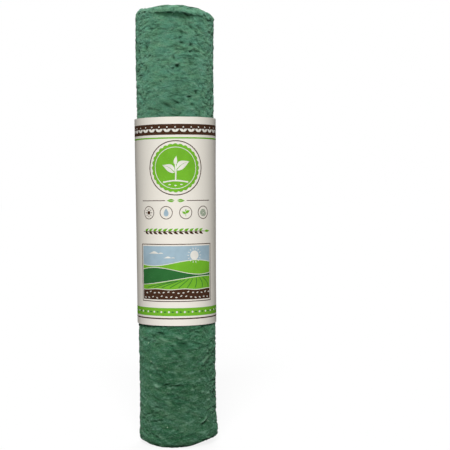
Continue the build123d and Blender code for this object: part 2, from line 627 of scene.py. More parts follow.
outerTurns = {
    "square": 0.97 * mm,        # the mesh where the felt shows
    "coarseSquare": 20 * mm,    # and under the sleeve
    "tuckedUnder": 5 * mm,      # how far the fine mesh runs in under the sleeve
    "sheet": 0.77 * mm,         # one layer, which is the step at the free edge
    "wall": 4.2 * mm,
    "headShoulder": 12 * mm,    # height of the rounded part at either end
    "footShoulder": 10 * mm,
    "headCourse": 14.4 * mm,    # and about how far it is over that part
    "footCourse": 12.5 * mm,
    "headFold": 7.0 * mm,       # how far the turns lean in over each end
    "footFold": 6.5 * mm,
    "raggedFold": 1.3 * mm,
    "foldEdge": 1.4 * mm,       # thickness of the leaning edge
    "flapWidth": 2.0 * mm,      # how far the free edge stands over the turn below it
    "flapLift": 1.0 * mm,
    "flapShade": 3.2 * mm,      # how far from its edge the felt below it has painted shade
    "seamWobble": 3.0 * mm,     # how far the free edge strays from a straight line
    "pressed": (3 * mm, 4 * mm),    # how far outside and inside its edges the sleeve flattens the relief
    "creaseShade": 0.8,
    "offFloor": 0.03 * mm,
    # How the ends are crushed: degrees from the front, radius of the corner, and how far the end
    # has sunk, in mm.
    "crushed": {
        "head": [
            (-180, 12, 0.3), (-120, 9, 0.1), (-85, 3.4, 0.2), (-70, 3.4, -0.4), (-63, 4, 1.2),
            (-54, 5.5, 2.2), (-45, 7, 1.5), (-37, 8, 0.7), (-28, 10, 0.5), (-20, 12, 0), (5, 12, 0.6),
            (17, 12, 0.6), (22, 12, 1.2), (30, 12, 2.2), (40, 12, 2.0), (50, 12, 2.1), (62, 12, 4.0),
            (75, 12, 5.4), (120, 12, 1.0), (180, 12, 0.3),
        ],
        "foot": [
            (-180, 10, 0), (-120, 8, 0), (-82, 5.4, 2.4), (-66, 5.8, 3.9), (-54, 5.2, 2.3),
            (-44, 4.8, 1.2), (-34, 4.8, 0.2), (-22, 7.4, 0), (-10, 9.5, 0), (20, 10, 0.9),
            (46, 10.5, 3.9), (60, 10.5, 4.8), (75, 9.5, 5.8), (120, 10, 1.0), (180, 10, 0),
        ],
    },
    # Height and the wall's radius there, in mm.
    "girth": [
        (0, 44.5), (14, 44.8), (30, 44.6), (70, 44.55), (130, 44.45), (140, 44.45), (148, 45.2),
        (362, 45.5), (372, 44.65), (420, 44.8), (465, 45.15), (500, 45.1),
    ],
    # Bulges: degrees from the front, height, half width in degrees, half height, how far they stand out.
    "bulges": [
        (80, 17, 26, 8.5, 2.3), (80, 36, 22, 10, 0.3), (-78, 22, 20, 9, 0.5), (85, 458, 20, 22, 0.3),
        (85, 480, 20, 10, 0.9), (-85, 440, 25, 26, 0.6), (88, 395, 14, 9, 0.4), (-85, 118, 30, 22, 0.5),
        (80, 120, 24, 20, 0.6), (0, 139, 48, 7, 0.6), (-82, 493, 16, 5, 0.8), (-70, 9, 22, 8, 0.8),
    ],
}
feltRadius = min(radius for _, radius in outerTurns["girth"]) * mm

# The crease under the upper lip, with painted shade in it. It is broad and dark across the middle of the
# front, and only a line on either side of that.
lipCrease = {
    # Degrees from the front, height, depth from 0 to 1, and half its width below its line.
    "route": [
        (-180, 491, 0.3, 1.2), (-110, 492, 0.25, 1.2), (-66, 491.5, 0.06, 1.2), (-44, 491, 0.08, 1.2),
        (-32, 490.3, 0.4, 1.1), (-24, 489.4, 0.9, 1.7), (-17, 488.7, 1, 2.3), (-11, 488.8, 1, 3.5),
        (-6, 489.0, 1, 3.8), (-1, 488.3, 1, 3.1), (4, 489.2, 1, 4.3), (9, 487.1, 1, 4.2),
        (15, 487.2, 1, 3.9), (19, 486.6, 1, 2.8), (24, 486.1, 0.95, 2.2), (28, 485.9, 0.6, 1.3),
        (34, 486.0, 0.4, 1.1), (44, 486.0, 0.35, 1.1), (53, 484.2, 0.55, 1.2), (65, 482.8, 0.5, 1.2),
        (80, 484.5, 0.15, 1.2), (110, 488, 0.25, 1.2), (180, 491, 0.3, 1.2),
    ],
    "depth": 1.2 * mm,
    "sharpTop": 0.34,               # share of that half width above the line, under the lip
    "hairline": 0.9,                # and the least that it is there
    "darkWidth": 1.4, "dark": 0.88, # how much wider than the crease its painted shade is, and how dark
    "unevenDepth": 0.30, "unevenLine": 0.8,
    "jagged": 0.9, "jagSize": 2.2 * mm,
    "lip": 0.8 * mm,                # how far the lip over it stands out
    "lipHalfWidth": 3.0 * mm,
    "lipAbove": 4.2 * mm,
    "lipLump": 1.1 * mm, "lipLumpSize": 4.2 * mm,
}


def wrapRows():
    # Down the face from the upper fold to the lower one, then back up the underside.
    fine, coarse, tucked = (outerTurns[key] for key in ("square", "coarseSquare", "tuckedUnder"))
    headCount, footCount = (math.ceil(outerTurns[end + "Course"] / fine) for end in ("head", "foot"))
    rows = [("headShoulder", 1 - i / headCount) for i in range(headCount)]
    head, foot = rollHeight - outerTurns["headShoulder"], outerTurns["footShoulder"]
    above, below = sleeveHigh.z - tucked, sleeveLow.z + tucked
    for high, low, step in ((head, above, fine), (above, below, coarse), (below, foot, fine)):
        count = round((high - low) / step)
        rows += [("wall", high + (low - high) * i / count) for i in range(count)]
    rows += [("footShoulder", i / footCount) for i in range(footCount + 1)]
    rows += [("footUnder", share) for share in (1, 0.8, 0.6, 0.4)]
    inner = (20 * mm, rollHeight / 3, rollHeight * 2 / 3, rollHeight - 20 * mm)
    rows += [("inner", height) for height in inner]
    rows += [("headUnder", share) for share in (0.4, 0.6, 0.8, 1)]
    return rows


def ragged(angle, seed):
    return waver(math.cos(angle) * 4, math.sin(angle) * 4, seed)


def howCrushed(end, angle):
    # The radius of the corner there, and how far the end has sunk.
    return [value * mm for value in roundTheRoll(outerTurns["crushed"][end], angle)]


def shoulderPoint(end, share, angle, inside):
    # A place on the rounded shoulder of either end: how far in, how high, and the way out. It runs
    # straight up as far as the corner starts, then round the corner and in over the end.
    radius, sink = howCrushed(end, angle)
    fold = outerTurns[end + "Fold"] + outerTurns["raggedFold"] * ragged(angle, 3 if end == "head" else 8)
    lean = math.acos(1 - min(fold / radius, 1))
    straight = outerTurns[end + "Shoulder"] - radius
    along = share * (straight + lean * radius)
    turn = max(0.0, along - straight) / radius
    across, up = math.cos(turn), math.sin(turn)
    inset = radius - (radius - inside) * across + share * max(0.0, fold - radius)
    level = radius + max(0.0, straight - along) - (radius - inside) * up + sink * share
    if end == "head":
        return inset, rollHeight - level, across, up
    return inset, level, across, -up


def wrapPoint(row, angle):
    kind, value = row
    edge = outerTurns["foldEdge"]
    if kind == "wall":
        return 0, value, 1, 0
    if kind == "inner":
        return outerTurns["wall"], value, 1, 0
    if kind.endswith("Under"):
        return shoulderPoint(kind[:4], value, angle, edge)
    return shoulderPoint(kind[:4], value, angle, 0)


def lipShape(angle, height):
    # The crease under the upper lip, its painted shade, and the lip that stands out over it, from 0 to 1. The
    # last is 1 above the crease and 0 below it.
    line, deep, halfWidth = roundTheRoll(lipCrease["route"], angle)
    uneven = np.array([ragged(a * 2, 5) for a in angle])
    jags = np.array([waver(a * rollRadius / lipCrease["jagSize"], 5, 0) for a in angle]) * lipCrease["jagged"]
    deep *= 1 + lipCrease["unevenDepth"] * uneven
    above = height / mm - line + lipCrease["unevenLine"] * uneven + jags
    narrow = np.maximum(halfWidth * lipCrease["sharpTop"], lipCrease["hairline"])
    halfWidth = np.where(above > 0, narrow, halfWidth)
    groove = bell(above / halfWidth) * deep
    dark = bell(((above + jags) / halfWidth / lipCrease["darkWidth"]) ** 2) * lipCrease["dark"] * deep**0.4
    lip = bell((above * mm - lipCrease["lipAbove"]) / lipCrease["lipHalfWidth"]) * deep
    return groove, dark, lip, smoothStep(above, 0, 2.5)


def buildOuterTurns():
    rows = wrapRows()
    faceRows = next(i for i, row in enumerate(rows) if row[0] == "footUnder")
    around = math.ceil(fullTurn * rollRadius / outerTurns["square"])
    # After the last column of the face come the flap's lower edge and the first column again.
    wrap, column, row = flatSheet("mat_outer_turns", around + 2, len(rows))
    levels = [(wrapPoint(place, front)[1],) for place in rows]
    along = np.arange(around + 3) * fullTurn * rollRadius / around
    mapSheet(wrap, along, levels, slack=0.3 * outerTurns["square"])
    row = row % len(rows)
    onFace = row < faceRows
    flapAngle = outerTurns["flapWidth"] / rollRadius

    # Angle, and share of the turn that the sheet has made there.
    wobble = np.array([waver(0, 0, i * 0.05) + 0.3 * waver(0, 7, i * 0.4) for i in range(len(rows))])
    seam = back + np.where(onFace, wobble[row], 0) * outerTurns["seamWobble"] / rollRadius
    share = np.where(column == around + 2, 0, np.minimum(column, around) / around)
    faceAngle = seam - flapAngle + (fullTurn + flapAngle) * share
    innerAngle = back - flapAngle + fullTurn * column / (around + 2)
    angle = np.where(onFace, faceAngle, innerAngle)

    inset, height, outward, upward = np.array([wrapPoint(rows[r], a) for r, a in zip(row, angle)]).T
    lumpy = [feltLump(a, h) if face else (0, 0) for a, h, face in zip(angle, height, onFace)]
    lump, crease = np.array(lumpy).T
    dent, pit, worn = addMarks(angle, height)
    groove, dark, lip, onLip = lipShape(angle, height)
    lipLump = [
        noise.noise(onRoll(a, rollRadius, h) / lipCrease["lipLumpSize"]) if on > 0 else 0
        for a, h, on in zip(angle, height, onLip)
    ]

    relief = lump + dent - groove * lipCrease["depth"] + lip * lipCrease["lip"]
    relief += onLip * lipCrease["lipLump"] * np.array(lipLump)
    outside, within = outerTurns["pressed"]
    pressed = smoothStep(height, sleeveLow.z - outside, sleeveLow.z + within)
    pressed *= smoothStep(-height, -sleeveHigh.z - outside, -sleeveHigh.z + within)
    relief = np.where(onFace, relief * (1 - pressed), 0)

    wallRadius = np.interp(height, *np.array(outerTurns["girth"]).T * mm)
    wallRadius += atPlaces(outerTurns["bulges"], angle, height) * mm
    step = np.where(onFace, outerTurns["sheet"] * (share - 1), 0)
    nearEdge = smoothStep(angle, seam + fullTurn - 5 * flapAngle, seam + fullTurn) * (share > 0.5)
    edgeLift = np.array([0.5 + waver(3, 1, i * 0.05) for i in range(len(rows))])[row]
    flap = nearEdge * edgeLift * outerTurns["flapLift"] * (1 - pressed)
    flap -= np.where(column == around + 1, outerTurns["sheet"] * 0.8, 0)
    flap = np.where(onFace, flap, 0)

    out = relief + step + flap
    radius = wallRadius - inset + out * outward
    sag = lumps["sag"] * relief * smoothStep(outward, 0.3, 0.9)
    level = np.maximum(height + out * upward - sag, outerTurns["offFloor"])
    writePoints(wrap, np.stack([radius * np.cos(angle), radius * np.sin(angle), level], 1))
    # Painted shade on the felt under the free edge's flap.
    below = 1 - smoothStep(share * fullTurn * rollRadius, outerTurns["flapWidth"], outerTurns["flapShade"])
    # All the painted shade of the face, less the worn tufts.
    paintedShadeAndWear = np.maximum.reduce([crease * outerTurns["creaseShade"], pit, dark, below]) - worn
    writeValues(wrap, "paintedShadeAndWear", np.where(onFace, paintedShadeAndWear * (1 - pressed), 0))
    closeUp(wrap)
    finishPiece(wrap, feltGreen, "mat_roll")
    return wrap


outerWrap = buildOuterTurns()
print("outer turns rolled:", len(outerWrap.data.vertices), "points")


# The inner turns: the rest of the mat as one long strip, wound from the bore outwards. Each
# layer's edge lies a little higher or lower than the next, and some gaps stand open.

innerTurns = {
    "pitch": 0.77 * mm,
    "stepsPerTurn": 64,
    "snugGap": 0.10 * mm,
    "openGap": 0.55 * mm,
    "gapEvery": 4,              # layers
    "ragged": 0.9 * mm, "raggedSize": 5 * mm,
    "waviness": 0.35 * mm, "waveSize": 14 * mm,
    "clearOfWrap": 0.1 * mm,
    "sinks": (18 * mm, 36 * mm),    # radius from which a crushed end sinks, and at which it has sunk
    "dark": (0.9 * mm, 3.5 * mm),   # how deep the gaps begin to take painted shade, and are fully shaded
    # Distances from the end of the roll at which the strip has points.
    "levels": [0.18 * mm, 0.7 * mm, 2 * mm, 6 * mm, 30 * mm],
}


def underFold(radius, end):
    # The highest that a layer's edge may reach under the leaning outer turns.
    shoulder = outerTurns[end + "Shoulder"]
    inner = shoulder - outerTurns["foldEdge"]
    across = max(0.0, radius - (feltRadius - shoulder))
    return shoulder - math.sqrt(max(0.0, inner**2 - across**2)) + 0.3 * mm


def buildInnerTurns():
    pitch = innerTurns["pitch"]
    outermost = feltRadius - outerTurns["wall"] - innerTurns["clearOfWrap"]
    turns = (outermost - boreRadius) / pitch - 1
    steps = round(turns * innerTurns["stepsPerTurn"])
    levels = innerTurns["levels"]
    # Once round the strip's section: foot, outer face, head, inner face.
    section = (
        [("foot", 0, 0)]
        + [("foot", 1, depth) for depth in levels]
        + [("head", 1, depth) for depth in reversed(levels)]
        + [("head", 0, 0)]
        + [("head", -1, depth) for depth in levels]
        + [("foot", -1, depth) for depth in reversed(levels)]
    )
    strip, column, row = flatSheet("mat_inner_turns", steps, len(section))
    layerLength = (boreRadius + outermost) / 2 * fullTurn / innerTurns["stepsPerTurn"]
    corners = [
        (side * pitch / 2, rollHeight - depth if end == "head" else depth) for end, side, depth in section
    ]
    mapSheet(strip, np.arange(steps + 1) * layerLength, corners)

    def openness(turned):
        phase = turned % innerTurns["gapEvery"]
        width = smoothStep(1 - abs(phase - innerTurns["gapEvery"] / 2), 0, 0.5)
        return innerTurns["snugGap"] + (innerTurns["openGap"] - innerTurns["snugGap"]) * width

    points, paintedShadeAndWear = [], []
    for step, place in zip(column, row):
        end, side, depth = section[place % len(section)]
        turned = step / innerTurns["stepsPerTurn"]
        angle = back + turned * fullTurn
        centre = boreRadius + pitch * (turned + 0.5)
        gap = openness(turned) if side > 0 else openness(turned - 1)
        radius = centre + side * (pitch - gap) / 2
        radius += innerTurns["waviness"] * noise.noise(onRoll(angle, centre, 0) / innerTurns["waveSize"])
        spot = onRoll(angle, centre, 0) / innerTurns["raggedSize"]
        drop = innerTurns["ragged"] * (0.35 + noise.noise(spot + Vector((0, 0, turned))))
        fold = outerTurns[end + "Fold"] + outerTurns["raggedFold"]
        if centre > feltRadius - fold:
            drop = max(drop, underFold(centre, end))
        sunk = howCrushed(end, angle)[1] * float(smoothStep(centre, *innerTurns["sinks"]))
        depth += max(0.0, drop) + sunk
        height = depth if end == "foot" else rollHeight - depth
        points.append(onRoll(angle, radius, height))
        # Painted shade, darker the deeper a layer's edge lies down a gap.
        paintedShadeAndWear.append(float(smoothStep(depth, *innerTurns["dark"])))
    writePoints(strip, points)
    writeValues(strip, "paintedShadeAndWear", paintedShadeAndWear)
    closeUp(strip)
    finishPiece(strip, feltGreen, "mat_roll", smoothAngle=50)
    return strip


innerWrap = buildInnerTurns()
print("inner turns wound:", len(innerWrap.data.vertices), "points")


# The card sleeve: one strip bent round the roll, its outer end lapped over its inner one.

sleeve = {
    "card": 0.4 * mm,
    "clear": 0.3 * mm,          # of the solid's wall
    "drawnIn": 0.55 * mm,       # and how much closer it lies here, as the felt does
    "lapAngle": 112,            # degrees round from +X, where the lap starts
    "lapLength": 15 * mm,
    "lapGap": 0.04 * mm,
    "rampLength": 4 * mm,
    "columns": 260,
    "rows": 44,
    "headFlare": 1.4 * mm,      # the upper edge stands off the mat a little
    "ripple": 0.22 * mm,
    "rippleSize": 46 * mm,
    "tones": ((0.80, 0.765, 0.69), (0.83, 0.785, 0.70)),
    "fineGrain": (0.70, 0.65, 0.56),
    "flecks": (0.55, 0.47, 0.36),
}
sleeveFace = rollRadius + sleeve["clear"] + sleeve["card"] - sleeve["drawnIn"]


def lapLift(angle):
    # The strip runs round from the lap's start, and climbs onto itself after one turn.
    start = math.radians(sleeve["lapAngle"]) + fullTurn
    climbed = float(smoothStep(angle, start - sleeve["rampLength"] / sleeveFace, start))
    return (sleeve["card"] + sleeve["lapGap"]) * climbed


def sleevePoint(angle, height, lift=0.0):
    # A place on the sleeve's outer face, with its flare and its slight dents.
    share = (height - sleeveLow.z) / (sleeveHigh.z - sleeveLow.z)
    place = onRoll(angle, sleeveFace, height * 0.8) / sleeve["rippleSize"]
    radius = sleeveFace + sleeve["headFlare"] * share**1.5 + sleeve["ripple"] * noise.noise(place)
    return onRoll(angle, radius + lapLift(angle) + lift, height)


def cardMaterial():
    material, tree, surface = startMaterial("paleCard")
    fine = grain(tree, placeOn(tree, "Object"), 1.4 * mm, 4)
    cloudy = grain(tree, squeezed(tree, (1, 1, 0.5)), 60 * mm, 2)
    flecks = grain(tree, squeezed(tree, (1, 1, 3)), 0.9 * mm, 1)
    colour = blendWhere(tree, cloudy, 0.3, 0.7, 1, *sleeve["tones"])
    colour = blendWhere(tree, fine, 0.35, 0.65, 0.10, colour, sleeve["fineGrain"])
    colour = blendWhere(tree, flecks, 0.70, 0.76, 0.35, colour, sleeve["flecks"])
    fillSockets(tree, surface, {
        "Base Color": colour,
        "Roughness": 0.8,
        "Specular IOR Level": 0.01,
        "Normal": bumped(tree, fine, 0.05 * mm, 0.5),
    })
    return material


def buildSleeve():
    strip, column, row = flatSheet("card_sleeve", sleeve["columns"], sleeve["rows"])
    lap = sleeve["lapLength"] / sleeveFace
    start = math.radians(sleeve["lapAngle"])
    angles = start + (fullTurn + lap) * column / sleeve["columns"]
    heights = sleeveLow.z + (sleeveHigh.z - sleeveLow.z) * row / sleeve["rows"]
    writePoints(strip, [sleevePoint(a, h) for a, h in zip(angles, heights)])
    inEditMode(strip, faceOut)
    applyModifier(strip, "SOLIDIFY", thickness=sleeve["card"], offset=-1)
    finishPiece(strip, cardMaterial(), "label_sleeve", smoothAngle=30)


buildSleeve()
print("sleeve bent and lapped")


# The print on the sleeve. Each ink is one thin piece: its shapes are drawn flat, in mm, and then
# bent round the card. Across is measured along the card from the middle of the front, and up from
# the card's lower edge.

inks = {
    # Colour, and how far the ink stands off the card, so that one is printed over another.
    "sky": ((0.36, 0.49, 0.57), 0.03 * mm),
    "leaf": ((0.175, 0.460, 0.030), 0.06 * mm),
    "moss": ((0.030, 0.150, 0.038), 0.09 * mm),
    "soil": ((0.062, 0.028, 0.015), 0.06 * mm),
    "chalk": ((0.80, 0.78, 0.71), 0.12 * mm),
}
drawn = {ink: [] for ink in inks}

printed = {
    "firstAcross": -113.2, "lastAcross": 178.8,     # the bands run round to just before the lap's edge
    "stripWidth": 2.4, "stripHeight": 6.0,          # the flat shapes are cut this small to bend well
    "repeats": 32,                                  # motifs in a band, all round
    "ribbon": (214, 226), "ribbonRule": (209.6, 211.2),
    "footBand": (11, 20), "footRule": (7.4, 8.8),
    "medallion": (0, 177, 26.2),                    # across, up and radius
    "divider": 140.5,
    "signs": (127, 7.4, (-33, -11, 11, 33)),        # up, radius of the rings, and their places
    "ear": (106, 42),                               # up, and half its length
    "panel": (-45.5, 27, 45.5, 92),
}


def fillBetween(ink, one, other):
    # A flat shape between two lines of as many points.
    lines = (list(one), list(other))
    shape, column, row = flatSheet(ink + "Shape", len(lines[0]) - 1, 1)
    writePoints(shape, [(*lines[r][c], 0) for c, r in zip(column, row)])
    if sum(face.normal.z * face.area for face in shape.data.polygons) < 0:
        shape.data.flip_normals()
    drawn[ink].append(shape)
    return shape


def repeatShape(ink, shape, moves):
    for move in moves:
        copy = shape.copy()
        copy.data = shape.data.copy()
        copy.data.transform(Matrix.Translation((*move, 0)))
        bpy.context.collection.objects.link(copy)
        drawn[ink].append(copy)


def circle(x, y, radius, count=48, waves=0, wave=0.0):
    turns = [fullTurn * i / count for i in range(count + 1)]
    sizes = [radius + wave * abs(math.cos(waves * turn / 2)) for turn in turns]
    return [(x + r * math.cos(t), y + r * math.sin(t)) for r, t in zip(sizes, turns)]


def ring(ink, x, y, outer, inner=0.0, count=48):
    return fillBetween(ink, circle(x, y, inner, count), circle(x, y, outer, count))


def plate(ink, left, foot, right, head):
    return fillBetween(ink, [(left, foot), (right, foot)], [(left, head), (right, head)])


def stroke(ink, points, width):
    # A line of even width through the points.
    sides = [], []
    for i, (x, y) in enumerate(points):
        before, after = points[max(i - 1, 0)], points[min(i + 1, len(points) - 1)]
        along = Vector((after[0] - before[0], after[1] - before[1])).normalized() * width / 2
        sides[0].append((x + along.y, y - along.x))
        sides[1].append((x - along.y, y + along.x))
    return fillBetween(ink, *sides)


def leafWidth(t):
    return math.sin(math.pi * t**0.8) ** 1.15


def dropWidth(t):
    return t * math.sqrt(max(0.0, 1 - t)) / 0.385


def blade(ink, x, y, length, width, degrees, vein=0.0, bow=0.0, profile=leafWidth, steps=14):
    # A leaf, seed or drop from its base or tip outwards, in two halves if it has a bare vein.
    cos, sin = cosSin(degrees)

    def side(widths, way, apart):
        line = []
        for t, wide in zip(shares, widths):
            along, over = t * length, bow * length * math.sin(math.pi * t) + way * (wide + apart)
            line.append((x + along * cos - over * sin, y + along * sin + over * cos))
        return line

    shares = [i / steps for i in range(steps + 1)]
    widths = [width / 2 * profile(t) for t in shares]
    if vein == 0:
        return fillBetween(ink, side(widths, 1, 0), side(widths, -1, 0))
    # The halves stay a hair apart at their tips too, so that each is a closed shape.
    gaps = [min(vein / 2 * (1 - t), wide) for t, wide in zip(shares, widths)]
    for way in (1, -1):
        fillBetween(ink, side(gaps, way, 0.002), side(widths, way, 0.002))


def rays(ink, x, y, radius, length, width, count):
    # Short rays round a sun.
    for i in range(count):
        degrees = 360 * i / count
        cos, sin = cosSin(degrees)
        blade(ink, x + radius * cos, y + radius * sin, length, width, degrees, steps=4)


def drawBands():
    left, right = printed["firstAcross"], printed["lastAcross"]
    for ink, name in (("soil", "ribbon"), ("leaf", "ribbonRule"), ("leaf", "footBand"), ("soil", "footRule")):
        plate(ink, left, printed[name][0], right, printed[name][1])
    # The motifs follow each other round the sleeve, each drawn once at the first place.
    pitch = fullTurn * sleeveFace / mm / printed["repeats"]
    start = pitch * math.ceil(left / pitch + 0.4)
    moves = [(pitch * i, 0) for i in range(1, printed["repeats"])]
    foot = printed["ribbon"][0]
    for way in (1, -1):
        petal = blade("chalk", start + 0.06 * way, foot + 3.2, 5.6, 3.0, 90 - 52 * way, bow=0.08 * way)
        repeatShape("chalk", petal, moves)
    repeatShape("chalk", ring("chalk", start, foot + 8.6, 0.8, count=12), moves)
    middle = sum(printed["footBand"]) / 2
    repeatShape("chalk", ring("chalk", start, middle, 1.1, count=14), moves)
    repeatShape("moss", blade("moss", start + pitch / 2 - 1.7, middle, 3.4, 1.5, 0), moves[:-1])


def drawSprout(ink, x, y, size, vein):
    # Two leaves and a bud on a stem that stands at this place.
    stroke(ink, [(x, y), (x + 0.01 * size, y + 0.35 * size), (x, y + 0.62 * size)], 0.055 * size)
    blade(ink, x + 0.03 * size, y + 0.40 * size, 0.66 * size, 0.34 * size, 34, vein, 0.10)
    blade(ink, x - 0.03 * size, y + 0.30 * size, 0.60 * size, 0.31 * size, 148, vein, -0.10)
    blade(ink, x, y + 0.60 * size, 0.40 * size, 0.15 * size, 84, 0, 0.05)


def drawMedallion():
    x, y, radius = printed["medallion"]
    fillBetween("leaf", circle(x, y, 0, 224), circle(x, y, radius, 224, 28, 1.3))
    ring("chalk", x, y, radius - 2.6, radius - 3.3, 72)
    ring("soil", x, y, radius + 4.6, radius + 3.5, 96)
    drawSprout("chalk", x, y - 13.5, 27, 0.9)
    mound = [(x + 14 * t, y - 14.6 + 1.2 * math.cos(2 * t)) for t in np.linspace(-1, 1, 17)]
    fillBetween("chalk", [(a, b - 1.6) for a, b in mound], mound)
    for across, down in ((-6.5, -18.6), (0, -19.6), (6.5, -18.6)):
        blade("chalk", x + across - 1.6, y + down, 3.2, 1.4, 0)


def drawSigns():
    # A row of small round signs: sun, water, growth and the wound mat.
    y, radius, places = printed["signs"]
    for x in places:
        ring("soil", x, y, radius, radius - 0.75)
    sun, water, growth, roll = places
    ring("soil", sun, y, 2.1, count=24)
    rays("soil", sun, y, 2.9, 2.1, 0.9, 8)
    blade("sky", water, y + 4.8, 9.0, 5.4, -90, profile=dropWidth, steps=24)
    drawSprout("leaf", growth, y - 4.2, 8.4, 0)
    spiral = [(0.5 + 0.62 * t, t * 1.9) for t in np.linspace(0, 6.2, 60)]
    stroke("moss", [(roll + r * math.cos(a * 1.6), y + r * math.sin(a * 1.6)) for r, a in spiral], 0.62)


def drawOrnaments():
    # A rule that opens for two leaves, and a lying ear of grass.
    y = printed["divider"]
    for way, degrees in ((-1, 180), (1, 0)):
        plate("soil", min(way * 12, way * 43), y - 0.4, max(way * 12, way * 43), y + 0.4)
        blade("leaf", way * 1.5, y, 8.6, 3.6, degrees, 0.5)
    y, half = printed["ear"]
    plate("soil", -half, y - 0.3, half - 7, y + 0.3)
    for degrees, side, ink in ((24, 1, "leaf"), (-24, -1, "soil")):
        seed = blade(ink, -half + 3, y + side * 0.9, 6.2, 2.5, degrees, bow=-0.06 * side)
        repeatShape(ink, seed, [(i * 6.0, 0) for i in range(1, 12)])
    blade("leaf", half - 7, y, 8.4, 2.8, 0)


def drawPanel():
    # A field under a pale sun, with hills, furrows and seeds in the soil.
    left, foot, right, head = printed["panel"]
    line, gap = 0.9, 0.35

    def corners(inset):
        low, high = (left + inset, foot + inset), (right - inset, head - inset)
        return [low, (high[0], low[1]), high, (low[0], high[1]), low]

    fillBetween("soil", corners(line), corners(0))
    edge = line + 1.2
    xs = np.linspace(left + edge, right - edge, 61)
    bottom, top = ([(x, y) for x in xs] for y in (foot + edge, head - edge))
    ground = [(x, foot + 14 + 0.5 * math.sin(x / 5)) for x in xs]
    near = [(x, foot + 23.5 + 5 * math.sin(x / 30 + 0.3)) for x in xs]
    middle = [(x, foot + 34.5 + 4 * math.cos((x + 25) / 17)) for x in xs]
    far = [(x, foot + 43.5 + 3.2 * math.cos((x - 22) / 16)) for x in xs]
    lines = [bottom, ground, near, middle, far, top]
    for ink, low, high in zip(("soil", "leaf", "moss", "leaf", "sky"), lines, lines[1:]):
        fillBetween(ink, [(x, y + gap) for x, y in low], [(x, y - gap) for x, y in high])
    for i in range(-4, 5):
        start = np.array((14 + i * 4.4, near[39 + i * 3][1] - 1.4))
        end = np.array((2 + i * 9.6, foot + 15.6))
        bend = (start + end) / 2 + (1.2 * i, 0)
        path = [(1 - t) ** 2 * start + 2 * t * (1 - t) * bend + t * t * end for t in np.linspace(0, 1, 9)]
        stroke("moss", [tuple(place) for place in path], 0.75)
    sunAcross, sunUp = 21, head - 13
    ring("chalk", sunAcross, sunUp, 5.2, count=40)
    rays("chalk", sunAcross, sunUp, 6.4, 2.6, 0.9, 14)
    for across, up, size in ((-24, head - 11, 1.0), (-8, head - 16, 0.7)):
        cloud = [(across + size * 9 * t, up) for t in np.linspace(-1, 1, 33)]
        crown = [
            (x, y + size * (0.35 + 2.6 * abs(math.sin(2.3 * i / 16)) * (1 - (i / 16 - 1) ** 2)))
            for i, (x, y) in enumerate(cloud)
        ]
        fillBetween("chalk", cloud, crown)
    draw = random.Random(4)
    for x in np.arange(left + 6, right - 5, 5.6):
        for y, along in ((foot + 5.4, 0), (foot + 10.2, 2.4)):
            tilt = draw.uniform(-35, 35)
            blade("chalk", x + along - 1.5, y + draw.uniform(-0.6, 0.6), 3.0, 1.3, tilt, steps=8)


def inkMaterial(ink, colour):
    # Ink on uncoated card: a little uneven, and the card shows through its grain.
    material, tree, surface = startMaterial(ink + "Ink")
    fine = grain(tree, placeOn(tree, "Object"), 0.8 * mm, 4)
    cloudy = grain(tree, placeOn(tree, "Object"), 12 * mm, 2)
    dark = [c * 0.82 for c in colour]
    worn = [c + (0.75 - c) * 0.22 for c in colour]
    shade = blendWhere(tree, cloudy, 0.35, 0.65, 0.6, colour, dark)
    fillSockets(tree, surface, {
        "Base Color": blendWhere(tree, fine, 0.62, 0.78, 0.7, shade, worn),
        "Roughness": 0.75,
        "Specular IOR Level": 0.03,
        "Normal": bumped(tree, fine, 0.03 * mm, 0.4),
    })
    return material


def cutSmall(piece):
    # Cut the flat shapes into small pieces, so that they bend evenly.
    # Edges and points closer than this many mm are taken as one.
    points, closest = readPoints(piece), 1e-4
    work = bmesh.new()
    work.from_mesh(piece.data)
    for axis, step in enumerate((printed["stripWidth"], printed["stripHeight"])):
        low, high = points[:, axis].min(), points[:, axis].max()
        for i in range(math.ceil(low / step), math.floor(high / step) + 1):
            place, way = [0, 0, 0], [0, 0, 0]
            place[axis], way[axis] = i * step, 1
            parts = work.verts[:] + work.edges[:] + work.faces[:]
            bmesh.ops.bisect_plane(work, geom=parts, plane_co=place, plane_no=way, dist=closest)
    bmesh.ops.remove_doubles(work, verts=work.verts[:], dist=closest)
    bmesh.ops.dissolve_degenerate(work, edges=work.edges[:], dist=closest)
    work.to_mesh(piece.data)
    work.free()


def printSleeve():
    drawBands()
    drawMedallion()
    drawOrnaments()
    drawSigns()
    drawPanel()
    for ink, (colour, lift) in inks.items():
        bpy.ops.object.select_all(action="DESELECT")
        for shape in drawn[ink]:
            shape.select_set(True)
        bpy.context.view_layer.objects.active = drawn[ink][0]
        bpy.ops.object.join()
        piece = newest("print_" + ink)
        cutSmall(piece)
        flat = readPoints(piece) * mm
        angles = front + fullTurn + flat[:, 0] / sleeveFace
        writePoints(piece, [sleevePoint(a, sleeveLow.z + y, lift) for a, y in zip(angles, flat[:, 1])])
        applyModifier(piece, "SOLIDIFY", thickness=lift + 0.005 * mm, offset=-1)
        finishPiece(piece, inkMaterial(ink, colour), smoothAngle=30)
        print("printed in", ink, len(piece.data.polygons), "faces")


printSleeve()


# Loose fibres and seeds. One of each kind is modelled and arrayed, and then every copy is laid on
# the felt by itself, along a path that follows the lumps.

